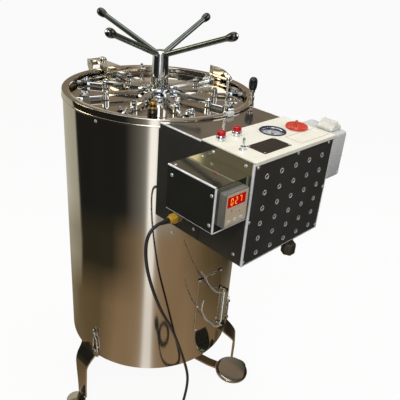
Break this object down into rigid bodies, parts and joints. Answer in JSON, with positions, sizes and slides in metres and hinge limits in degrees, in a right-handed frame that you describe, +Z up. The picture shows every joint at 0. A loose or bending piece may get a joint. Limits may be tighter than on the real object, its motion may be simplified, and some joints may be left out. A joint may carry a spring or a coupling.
{
  "type": "vertical autoclave",
  "caption": "Upright steam steriliser with a radial-bolt lid, four-armed locking wheel, pedal lid lifter and a side control box with its mains cord and plug.",
  "frame": {"origin": "on the floor under the middle of the object, measured without its cord", "axes": "+Z up along the tank, -Y towards the front of the control box, +X towards its metal-clad socket"},
  "size_m": [0.579, 0.7836, 1.1316],
  "materials": {
    "mirror_steel": "mirror polished stainless steel",
    "dark_mirror_steel": "mirror polished stainless sheet that mirrors a dark room",
    "satin_steel": "fine satin stainless steel",
    "chrome_plate": "bright chrome plate",
    "nickel_brass": "nickel plated brass, polished",
    "valve_brass": "turned brass, slightly dulled",
    "cast_aluminium": "cast and tumbled aluminium, matt",
    "cream_panel": "cream enamel, semi-matt",
    "black_bakelite": "black moulded plastic, glossy",
    "black_pvc": "black PVC cord sheath, low sheen",
    "brown_rubber": "dark olive-brown rubberised knob, matt",
    "silicone": "cured silicone gasket, matt",
    "red_knob": "red-orange moulded plastic, glossy",
    "lamp_red": "clear red lamp cap in a chromed bezel",
    "controller_case": "grey-beige moulded case, fine matt grain",
    "key_plastic": "pale soft-touch keys",
    "white_plastic": "pale moulded plug, semi-gloss",
    "gauge_blue": "dark blue gauge case with a printed dial",
    "needle_black": "thin black pointer",
    "gauge_glass": "flat clear glass",
    "yellow_gland": "yellow moulded cable gland"
  },
  "bodies": {
    "autoclave": {"outer_jacket": "mirror_steel", "rim_ring": "mirror_steel", "pressure_chamber": "satin_steel", "base_plate": "satin_steel", "lid_gasket": "silicone", "hinge_bracket": "mirror_steel", "leg_left": "mirror_steel", "leg_right": "mirror_steel", "leg_rear": "mirror_steel", "control_box": "dark_mirror_steel", "front_grille": "dark_mirror_steel", "control_panel": "cream_panel", "controller_housing": "dark_mirror_steel", "temperature_controller": "controller_case", "pilot_lamp_1": "lamp_red", "pilot_lamp_2": "lamp_red", "gauge_case": "gauge_blue", "gauge_glass": "gauge_glass", "clad_socket": "cast_aluminium", "release_valve": "nickel_brass", "service_cover": "mirror_steel", "level_gauge": "nickel_brass", "cord_gland": "yellow_gland", "strain_relief": "black_pvc", "mains_cord": "black_pvc", "cord_coil": "black_pvc", "mains_plug": "black_bakelite", "immersion_heater": "chrome_plate"},
    "basket": {"instrument_basket": "satin_steel"},
    "lid": {"lid_plate": "mirror_steel", "weight_valve": "valve_brass", "vent_pipe": "chrome_plate", "vacuum_valve": "chrome_plate"},
    "capstan": {"capstan": "chrome_plate", "handle_knob_1": "black_bakelite", "handle_knob_2": "black_bakelite", "handle_knob_3": "black_bakelite", "handle_knob_4": "black_bakelite"},
    "lift_rod": {"lift_rod": "chrome_plate"},
    "pedal": {"pedal_lever": "mirror_steel"},
    "release_knob": {"release_knob": "black_bakelite"},
    "toggle": {"toggle_lever": "chrome_plate"},
    "heat_knob": {"heat_knob": "red_knob"},
    "pressure_knob": {"pressure_switch_knob": "brown_rubber"},
    "needle": {"gauge_needle": "needle_black"},
    "clad_plug": {"clad_plug": "white_plastic"},
    "upper_lever": {"upper_cock_lever": "chrome_plate"},
    "lower_lever": {"lower_cock_lever": "chrome_plate"},
    "bolt_1": {"radial_bolt_1": "chrome_plate"},
    "bolt_2": {"radial_bolt_2": "chrome_plate"},
    "bolt_3": {"radial_bolt_3": "chrome_plate"},
    "bolt_4": {"radial_bolt_4": "chrome_plate"},
    "bolt_5": {"radial_bolt_5": "chrome_plate"},
    "bolt_6": {"radial_bolt_6": "chrome_plate"},
    "bolt_7": {"radial_bolt_7": "chrome_plate"},
    "bolt_8": {"radial_bolt_8": "chrome_plate"},
    "bolt_9": {"radial_bolt_9": "chrome_plate"},
    "key_1": {"controller_key_1": "key_plastic"},
    "key_2": {"controller_key_2": "key_plastic"},
    "key_3": {"controller_key_3": "key_plastic"}
  },
  "joints": [
    {"name": "lid_tilt", "type": "hinge", "parent": "autoclave", "child": "lid", "pos_m": [0.03648, 0.38175, 0.964], "axis": [-1, 0, 0], "range_deg": [0, 72]},
    {"name": "capstan_turn", "type": "hinge", "parent": "lid", "child": "capstan", "pos_m": [0.03648, 0.08975, 0.968], "axis": [0, 0, 1], "range_deg": [-30, 0]},
    {"name": "bolt_1_slide", "type": "slide", "parent": "lid", "child": "bolt_1", "axis": [0.2756, -0.9613, 0], "range_m": [0, 0.012]},
    {"name": "bolt_2_slide", "type": "slide", "parent": "lid", "child": "bolt_2", "axis": [0.829, -0.5592, 0], "range_m": [0, 0.012]},
    {"name": "bolt_3_slide", "type": "slide", "parent": "lid", "child": "bolt_3", "axis": [0.9945, 0.1045, 0], "range_m": [0, 0.012]},
    {"name": "bolt_4_slide", "type": "slide", "parent": "lid", "child": "bolt_4", "axis": [0.6947, 0.7193, 0], "range_m": [0, 0.012]},
    {"name": "bolt_5_slide", "type": "slide", "parent": "lid", "child": "bolt_5", "axis": [0.0698, 0.9976, 0], "range_m": [0, 0.012]},
    {"name": "bolt_6_slide", "type": "slide", "parent": "lid", "child": "bolt_6", "axis": [-0.5878, 0.809, 0], "range_m": [0, 0.012]},
    {"name": "bolt_7_slide", "type": "slide", "parent": "lid", "child": "bolt_7", "axis": [-0.9703, 0.2419, 0], "range_m": [0, 0.012]},
    {"name": "bolt_8_slide", "type": "slide", "parent": "lid", "child": "bolt_8", "axis": [-0.8988, -0.4384, 0], "range_m": [0, 0.012]},
    {"name": "bolt_9_slide", "type": "slide", "parent": "lid", "child": "bolt_9", "axis": [-0.4067, -0.9135, 0], "range_m": [0, 0.012]},
    {"name": "lift_rod_slide", "type": "slide", "parent": "autoclave", "child": "lift_rod", "axis": [0, 0, 1], "range_m": [0, 0.0227]},
    {"name": "pedal_tilt", "type": "hinge", "parent": "autoclave", "child": "pedal", "pos_m": [0.03648, 0.20975, 0.15], "axis": [1, 0, 0], "range_deg": [0, 8.4]},
    {"name": "basket_lift", "type": "slide", "parent": "autoclave", "child": "basket", "axis": [0, 0, 1], "range_m": [0, 0.12]},
    {"name": "release_turn", "type": "hinge", "parent": "autoclave", "child": "release_knob", "pos_m": [0.1791, -0.10946, 0.986], "axis": [0, 0, 1], "range_deg": [0, 90]},
    {"name": "toggle_rock", "type": "hinge", "parent": "autoclave", "child": "toggle", "pos_m": [-0.09352, -0.32425, 0.9543], "axis": [1, 0, 0], "range_deg": [-12, 12]},
    {"name": "heat_turn", "type": "hinge", "parent": "autoclave", "child": "heat_knob", "pos_m": [0.10948, -0.30625, 0.9543], "axis": [0, 0, 1], "range_deg": [-270, 0]},
    {"name": "pressure_turn", "type": "hinge", "parent": "autoclave", "child": "pressure_knob", "pos_m": [0.06348, -0.37125, 0.714], "axis": [0, 0, 1], "range_deg": [0, 270]},
    {"name": "needle_turn", "type": "hinge", "parent": "autoclave", "child": "needle", "pos_m": [0.04347, -0.29025, 0.9473], "axis": [0, 0, 1], "range_deg": [-270, 0]},
    {"name": "plug_pull", "type": "slide", "parent": "autoclave", "child": "clad_plug", "axis": [0, 0, 1], "range_m": [0, 0.025]},
    {"name": "key_1_press", "type": "slide", "parent": "autoclave", "child": "key_1", "axis": [0, 1, 0], "range_m": [0, 0.001], "stiffness_N_per_m": 600},
    {"name": "key_2_press", "type": "slide", "parent": "autoclave", "child": "key_2", "axis": [0, 1, 0], "range_m": [0, 0.001], "stiffness_N_per_m": 600},
    {"name": "key_3_press", "type": "slide", "parent": "autoclave", "child": "key_3", "axis": [0, 1, 0], "range_m": [0, 0.001], "stiffness_N_per_m": 600},
    {"name": "upper_cock_turn", "type": "hinge", "parent": "autoclave", "child": "upper_lever", "pos_m": [0.10584, -0.16912, 0.41], "axis": [0.2588, -0.9659, 0], "range_deg": [-90, 0]},
    {"name": "lower_cock_turn", "type": "hinge", "parent": "autoclave", "child": "lower_lever", "pos_m": [0.10584, -0.16912, 0.277], "axis": [0.2588, -0.9659, 0], "range_deg": [0, 90]}
  ],
  "couplings": [
    {"joint": "bolt_1_slide", "follows": "capstan_turn", "m_per_rad": -0.022918},
    {"joint": "bolt_2_slide", "follows": "capstan_turn", "m_per_rad": -0.022918},
    {"joint": "bolt_3_slide", "follows": "capstan_turn", "m_per_rad": -0.022918},
    {"joint": "bolt_4_slide", "follows": "capstan_turn", "m_per_rad": -0.022918},
    {"joint": "bolt_5_slide", "follows": "capstan_turn", "m_per_rad": -0.022918},
    {"joint": "bolt_6_slide", "follows": "capstan_turn", "m_per_rad": -0.022918},
    {"joint": "bolt_7_slide", "follows": "capstan_turn", "m_per_rad": -0.022918},
    {"joint": "bolt_8_slide", "follows": "capstan_turn", "m_per_rad": -0.022918},
    {"joint": "bolt_9_slide", "follows": "capstan_turn", "m_per_rad": -0.022918},
    {"joint": "lift_rod_slide", "follows": "lid_tilt", "m_per_rad": 0.018},
    {"joint": "pedal_tilt", "follows": "lid_tilt", "ratio": 0.1153}
  ]
}
